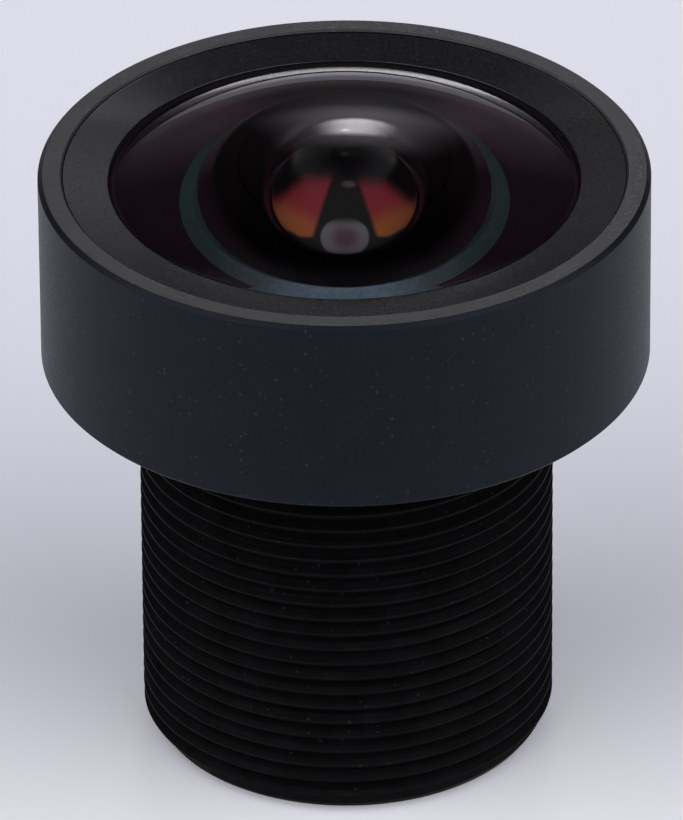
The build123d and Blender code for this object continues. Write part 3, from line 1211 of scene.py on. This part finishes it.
@dataclass
class FrontGroup:
    """The front glass with its ring and seal."""

    dome_edge_radius: float = 6.62
    dome_rise: float = 1.85
    hollow_radius: float = 3.543
    hollow_mouth: float = 3.833
    hollow_bevel: float = 0.27
    hollow_share: float = 0.99
    centre_thickness: float = 0.5
    ink_thickness: float = 0.012
    bevel_drop: float = 0.3
    seat_round: float = 0.06
    shoulder_round: float = 0.05
    lip_width: float = 1.3
    lip_drop: float = 0.2
    lip_gap: float = 0.01
    wear_drop: float = 0.35
    skirt_gap: float = 0.02
    ring_round: float = 0.015
    lip_round: float = 0.02
    hollow_steps: int = 56
    dome_steps: int = 64
    seal_steps: int = 24

    def build(self, finishes: Finishes) -> None:
        """Build and dress the group.

        Args:
            finishes: The lens's materials.
        """
        dome_edge = Span.of("front_element").high - self.dome_rise
        self.build_glass(finishes, dome_edge)
        self.build_ring(finishes, dome_edge)
        self.build_seal(finishes)

    def build_glass(self, finishes: Finishes, dome_edge: float) -> None:
        """Build the domed glass with its hollow, its bevel and its inked rim.

        Args:
            finishes: The lens's materials.
            dome_edge: The height of the dome's edge.
        """
        glass = Span.of("front_element")
        hollow_rise = self.hollow_share * self.hollow_radius
        hollow_edge = glass.high - self.centre_thickness - hollow_rise
        seat = glass.low + self.ink_thickness
        shape = Outline()
        shape.sphere(self.hollow_radius, hollow_edge, hollow_rise, False, self.hollow_steps, Role.FOURTH)
        shape.to(self.hollow_radius, glass.low + self.hollow_bevel, Role.THIRD)
        shape.to(self.hollow_mouth, seat, Role.SECOND)
        shape.corner(glass.radius, seat, self.seat_round, Role.SECOND)
        shape.corner(glass.radius, dome_edge - self.bevel_drop, self.shoulder_round, Role.SECOND)
        shape.sphere(self.dome_edge_radius, dome_edge, self.dome_rise, True, self.dome_steps)
        slots = [finishes.front_glass, finishes.ink, finishes.teal, finishes.hollow_glass]
        dress(turn("front_glass", shape.round(), closed=False), slots, "front_element")

    def build_ring(self, finishes: Finishes, dome_edge: float) -> None:
        """Build the dished ring, with its lip on the glass's bevel.

        Args:
            finishes: The lens's materials.
            dome_edge: The height of the dome's edge.
        """
        ring = Span.of("front_retaining_ring")
        glass = Span.of("front_element")
        lip = ring.radius - self.lip_width
        skirt = glass.radius + self.skirt_gap
        slope = self.bevel_drop / (glass.radius - self.dome_edge_radius)
        lip_seat, skirt_top = (
            dome_edge - (radius - self.dome_edge_radius) * slope + self.lip_gap for radius in (lip, skirt)
        )
        shape = Outline().to(skirt, ring.low).to(ring.radius, ring.low)
        shape.corner(ring.radius, ring.high, self.ring_round)
        shape.corner(lip, ring.high - self.lip_drop, self.lip_round)
        shape.to(lip, lip_seat, Role.SECOND).to(skirt, skirt_top, Role.SECOND)
        piece = turn("front_ring", shape.round())
        dress(piece, [finishes.dish, finishes.bore], "front_retaining_ring")

    def build_seal(self, finishes: Finishes) -> None:
        """Build the round rubber seal.

        Args:
            finishes: The lens's materials.
        """
        seal = Span.of("front_seal_ring")
        section = (seal.high - seal.low) / 2
        shape = Outline()
        for step in range(self.seal_steps):
            angle = 2 * math.pi * step / self.seal_steps
            radius = seal.radius - section + section * math.cos(angle)
            shape.to(radius, seal.low + section * (1 + math.sin(angle)))
        dress(turn("seal_ring", shape, steps=Steps.INNER), [finishes.rubber], "front_seal_ring")


@dataclass
class InnerLens:
    """One inner glass: its CAD node, its piece, the widths of its rims and the rises of its surfaces."""

    node: str
    piece: str
    rear_rim: float
    rear_rise: float
    front_rim: float
    front_rise: float
    coated: bool = False
    edge_round: float = 0.03

    def build(self, finishes: Finishes) -> None:
        """Build and dress the glass.

        Args:
            finishes: The lens's materials.
        """
        span = Span.of(self.node)
        rear = span.low - min(0.0, self.rear_rise)
        front = span.high - max(0.0, self.front_rise)
        shape = Outline()
        # The coated glass's rear face takes the third slot, which holds the painted reflections.
        back = Role.THIRD if self.coated else Role.MAIN
        shape.sphere(span.radius - self.rear_rim, rear, self.rear_rise, False, role=back)
        shape.roles[-1] = Role.SECOND
        shape.corner(span.radius, rear, self.edge_round, Role.SECOND)
        shape.corner(span.radius, front, self.edge_round, Role.SECOND)
        shape.sphere(span.radius - self.front_rim, front, self.front_rise, True)
        glass = finishes.second_glass if self.coated else finishes.inner_glass
        piece = turn(self.piece, shape.round(steps=2), closed=False, steps=Steps.GLASS)
        dress(piece, [glass, finishes.ink, finishes.coating], self.node)


@dataclass
class InnerStack:
    """The glass, spacers, baffles and stop between the front glass and the rear flange."""

    spacer_wall: float = 0.85
    spacer_bevel: float = 0.12
    groove_pitch: float = 0.2
    groove_depth: float = 0.08
    baffle_margin: float = 0.04
    stop_opening: float = 1.3
    knife_edge: float = 0.06

    def build(self, finishes: Finishes) -> None:
        """Build and dress the stack, whose film baffles cover the rims of the glass beside them.

        Args:
            finishes: The lens's materials.
        """
        # The second glass is the coated one, whose rear face carries the painted reflections.
        second = InnerLens("second_element", "second_glass", 1.8, 0.3, 1.43, 3.0, coated=True)
        third = InnerLens("third_element", "third_glass", 1.4, -0.35, 1.4, 0.6)
        fourth = InnerLens("fourth_element", "fourth_glass", 1.2, -0.3, 1.2, 0.45)
        crown = InnerLens("crown_element", "crown_glass", 0.45, -0.85, 0.9, 0.5)
        flint = InnerLens("flint_element", "flint_glass", 0.9, 0.3, 0.45, -0.85)
        rear = InnerLens("rear_element", "rear_glass", 1.1, -0.3, 1.1, 0.6)
        for lens in (second, third, fourth, crown, flint, rear):
            lens.build(finishes)
        for place in ("front", "front_stop", "rear_stop", "middle", "rear"):
            self.spacer(finishes, f"{place}_spacer")
        for node, lens in (("front_baffle", second), ("middle_baffle", crown), ("rear_baffle", rear)):
            self.disc(finishes, node, Span.of(node).radius - (lens.front_rim - self.baffle_margin))
        self.disc(finishes, "aperture_stop", self.stop_opening)

    def spacer(self, finishes: Finishes, node: str) -> None:
        """Turn one spacer, with fine grooves in its bore against stray light.

        Args:
            finishes: The lens's materials.
            node: The CAD node.
        """
        span = Span.of(node)
        bore = span.radius - self.spacer_wall
        mouth = bore + self.spacer_bevel
        high = span.high - self.spacer_bevel
        low = span.low + self.spacer_bevel
        shape = Outline().to(span.radius, span.low).to(span.radius, span.high).to(mouth, span.high)
        count = max(2, round((high - low) / self.groove_pitch))
        pitch = (high - low) / count
        for step in range(count):
            top = high - pitch * step
            shape.to(bore, top).to(bore + self.groove_depth, top - pitch / 2)
        shape.to(bore, low).to(mouth, span.low)
        piece = turn(node.replace("spacer", "tube"), shape, steps=Steps.SPACER)
        dress(piece, [finishes.bore], node)

    def disc(self, finishes: Finishes, node: str, opening: float) -> None:
        """Turn one thin disc with a knife edge round its opening.

        Args:
            finishes: The lens's materials.
            node: The CAD node.
            opening: Its opening's radius in millimetres.
        """
        span = Span.of(node)
        flat = opening + self.knife_edge
        shape = Outline().to(opening, (span.low + span.high) / 2).to(flat, span.low)
        shape.to(span.radius, span.low).to(span.radius, span.high).to(flat, span.high)
        dress(turn(node.replace("_", "_film_"), shape, steps=Steps.INNER), [finishes.film], node)


@dataclass
class RearGroup:
    """The filter, its gasket and the rear ring with its spanner slot."""

    gasket_width: float = 0.9
    ring_width: float = 1.25
    ring_land: float = 0.15
    ring_bevel: float = 0.3
    slot_width: float = 0.8
    slot_depth: float = 0.3
    plate_round: float = 0.02
    bore_round: float = 0.03
    ring_round: float = 0.04
    sharp_angle: float = 35.0

    def build(self, finishes: Finishes) -> None:
        """Build and dress the group.

        Args:
            finishes: The lens's materials.
        """
        plate = Span.of("ir_cut_filter")
        shape = Outline().to(0, plate.low).corner(plate.radius, plate.low, self.plate_round)
        shape.corner(plate.radius, plate.high, self.plate_round).to(0, plate.high)
        piece = turn("filter_plate", shape.round(steps=2), closed=False, steps=Steps.INNER)
        dress(piece, [finishes.filter_glass], "ir_cut_filter")
        gasket = Span.of("filter_gasket")
        inner = gasket.radius - self.gasket_width
        shape = Outline().to(inner, gasket.low).to(gasket.radius, gasket.low)
        shape.to(gasket.radius, gasket.high).to(inner, gasket.high)
        dress(turn("gasket", shape, steps=Steps.INNER), [finishes.rubber], "filter_gasket")
        self.build_ring(finishes)

    def build_ring(self, finishes: Finishes) -> None:
        """Turn the rear ring and mill its slot across.

        Args:
            finishes: The lens's materials.
        """
        ring = Span.of("rear_retaining_ring")
        inner = ring.radius - self.ring_width
        shape = Outline().to(ring.radius, ring.high)
        shape.to(inner, ring.high).to(inner, ring.high - self.ring_land)
        shape.corner(inner + self.ring_bevel, ring.low, self.bore_round)
        shape.corner(ring.radius, ring.low, self.ring_round)
        piece = turn("rear_ring", shape.round(steps=3), steps=Steps.INNER)
        cutter = self.cutter(ring)
        cut = piece.modifiers.new("slot", "BOOLEAN")
        cut.object = cutter
        cut.operation = "DIFFERENCE"
        cut.solver = "EXACT"
        mesh = plain_mesh(piece)
        piece.modifiers.clear()
        piece.data = mesh
        bpy.data.objects.remove(cutter)
        mesh.set_sharp_from_angle(angle=math.radians(self.sharp_angle))
        dress(piece, [finishes.dish], "rear_retaining_ring")

    def cutter(self, ring: Span) -> bpy.types.Object:
        """Make the block that mills the slot, long enough to pass the ring on both sides.

        Args:
            ring: The ring's span.

        Returns:
            The block, half of it below the ring's rear face.
        """
        cutter = link_object("slot_cutter", bpy.data.meshes.new("slot_cutter"))
        size = Vector((ring.radius * 3, self.slot_width, self.slot_depth * 2)) * MM
        place = Matrix.Translation((0, 0, ring.low * MM)) @ Matrix.Diagonal((*size, 1))
        block = bmesh.new()
        bmesh.ops.create_cube(block, size=1.0)
        bmesh.ops.transform(block, verts=block.verts, matrix=place)
        block.to_mesh(cutter.data)
        block.free()
        return cutter


@dataclass(frozen=True)
class Tent:
    """The pale cloth on both sides, thinner in front; its stretches are in degrees."""

    level: float = 2.0
    back_edge: Stretch = (58.0, 95.0)
    front_edge: Stretch = (150.0, 172.0)
    front_share: float = 0.3
    foot: Stretch = (0.0, 14.0)
    top: Stretch = (80.0, 60.0)

    def light(self, graph: Graph, turned: Socket, height: Socket) -> Socket:
        """Give the cloth's light.

        Args:
            graph: The world's graph.
            turned: The turn of the view from straight behind the lens.
            height: The height of the view.

        Returns:
            Its level.
        """
        turned = graph.maths("ABSOLUTE", turned)
        front = graph.ramp(turned, *self.front_edge, 1.0, self.front_share)
        sides = graph.product(graph.ramp(turned, *self.back_edge), front)
        upright = graph.product(graph.ramp(height, *self.foot), graph.ramp(height, *self.top))
        return graph.product(sides, upright, self.level)


@dataclass(frozen=True)
class Glow:
    """The weak light round the key lamp, in two steps of height; its stretches are in degrees."""

    turn: float = 3.0
    level: float = 0.95
    foot: Stretch = (4.0, 22.0)
    foot_share: float = 0.2
    body: Stretch = (17.0, 25.0)
    top: Stretch = (43.0, 36.0)
    ends: Stretch = (17.0, 0.0)

    def light(self, graph: Graph, turned: Socket, height: Socket) -> Socket:
        """Give the glow's light.

        Args:
            graph: The world's graph.
            turned: The turn of the view from straight behind the lens.
            height: The height of the view.

        Returns:
            Its level.
        """
        away = graph.maths("ABSOLUTE", graph.minus(turned, self.turn))
        foot = graph.ramp(height, *self.foot, 0.0, self.foot_share)
        low = graph.total(foot, graph.ramp(height, *self.body, 0.0, 1 - self.foot_share))
        return graph.product(low, graph.ramp(height, *self.top), graph.ramp(away, *self.ends), self.level)


@dataclass(frozen=True)
class Key:
    """The key lamp behind the lens, whose lower edge curves up at its ends; all but its level in degrees."""

    turn: float = 1.9
    level: float = 6.6
    lower_edge: float = 26.9
    curve: float = 0.06
    softness: float = 0.9
    top: Stretch = (36.0, 33.2)
    ends: Stretch = (7.2, 0.5)

    def light(self, graph: Graph, turned: Socket, height: Socket) -> Socket:
        """Give the lamp's light.

        Args:
            graph: The world's graph.
            turned: The turn of the view from straight behind the lens.
            height: The height of the view.

        Returns:
            Its level.
        """
        away = graph.maths("ABSOLUTE", graph.minus(turned, self.turn))
        low = graph.total(self.lower_edge, graph.product(away, away, self.curve))
        above = graph.ramp(graph.minus(height, low), -self.softness, self.softness)
        return graph.product(above, graph.ramp(height, *self.top), graph.ramp(away, *self.ends), self.level)


@dataclass
class Studio:
    """The floor, the lights and the camera; angles are in degrees and lengths in millimetres."""

    elevation: float = 31.716
    distance: float = 359.0
    focal_pixels: float = 12341.5
    image_height: float = 820.0
    aim_height: float = 8.0
    offset_x: float = -4.6
    offset_y: float = 59.86
    roll: float = -0.443
    sensor: float = 36.0
    nearest: float = 10.0
    farthest: float = 3000.0
    tint: Colour = (0.97, 0.97, 1.0)
    room_level: float = 0.03
    horizon_level: float = 0.08
    horizon: Stretch = (9.0, 0.0)
    floor_size: float = 1500.0
    floor_gap: float = 0.02

    def build(self, finishes: Finishes) -> None:
        """Set up the whole studio.

        Args:
            finishes: The materials, for the floor's paper.
        """
        self.floor(finishes.paper)
        self.world()
        self.camera()

    def floor(self, paper: bpy.types.Material) -> None:
        """Lay a wide pale floor.

        Args:
            paper: Its material.
        """
        mesh = bpy.data.meshes.new("floor")
        shape = bmesh.new()
        bmesh.ops.create_grid(shape, x_segments=1, y_segments=1, size=self.floor_size * MM)
        shape.to_mesh(mesh)
        shape.free()
        mesh.materials.append(paper)
        floor = link_object("floor", mesh)
        floor.location.z = -self.floor_gap * MM

    def world(self) -> None:
        """Fill the studio with soft light, which the camera, the metal and the glass all see alike."""
        world = bpy.data.worlds.new("studio")
        world.use_nodes = True
        bpy.context.scene.world = world
        graph = Graph(world.node_tree)
        way = graph.add("ShaderNodeTexCoord").outputs["Generated"]
        parts = graph.add("ShaderNodeSeparateXYZ", {0: way}).outputs
        turned = graph.maths("DEGREES", graph.maths("ARCTAN2", parts[0], parts[1]))
        height = graph.maths("DEGREES", graph.maths("ARCSINE", parts[2]))
        horizon = graph.ramp(height, *self.horizon, 0.0, self.horizon_level)
        lights = [source.light(graph, turned, height) for source in (Tent(), Glow(), Key())]
        level = graph.total(self.room_level, horizon, *lights)
        sky = {"Color": graph.scaled(self.tint, level), "Strength": 1.0}
        graph.fill(world.node_tree.nodes["Background"], sky)

    def camera(self) -> None:
        """Stand the camera where the photograph was taken."""
        tilt = math.radians(self.elevation)
        forward = Vector((0, math.cos(tilt), -math.sin(tilt)))
        right = Vector((1, 0, 0))
        up = right.cross(forward)
        focus = Vector((0, 0, self.aim_height))
        eye = focus - forward * self.distance
        scale = self.focal_pixels / self.distance
        aim = focus + right * (self.offset_x / scale) + up * (self.offset_y / scale)
        data = bpy.data.cameras.new("camera")
        data.type = "PERSP"
        data.sensor_width = self.sensor
        data.lens = data.sensor_width * self.focal_pixels / self.image_height
        data.clip_start = self.nearest * MM
        data.clip_end = self.farthest * MM
        camera = bpy.data.objects.new("camera", data)
        camera.location = eye * MM
        camera.rotation_mode = "QUATERNION"
        look = (aim - eye).to_track_quat("-Z", "Y")
        twist = Matrix.Rotation(math.radians(self.roll), 3, "Z").to_quaternion()
        camera.rotation_quaternion = look @ twist
        bpy.context.scene.collection.objects.link(camera)
        bpy.context.scene.camera = camera


def main() -> None:
    """Build the studio and every piece of the lens."""
    logging.basicConfig(level=logging.INFO, format="%(name)s: %(message)s")
    bpy.context.scene.view_settings.view_transform = "Standard"
    finishes = Finishes(Effects())
    Studio().build(finishes)
    Barrel().build(finishes)
    FrontGroup().build(finishes)
    InnerStack().build(finishes)
    RearGroup().build(finishes)


if __name__ == "__main__":
    main()
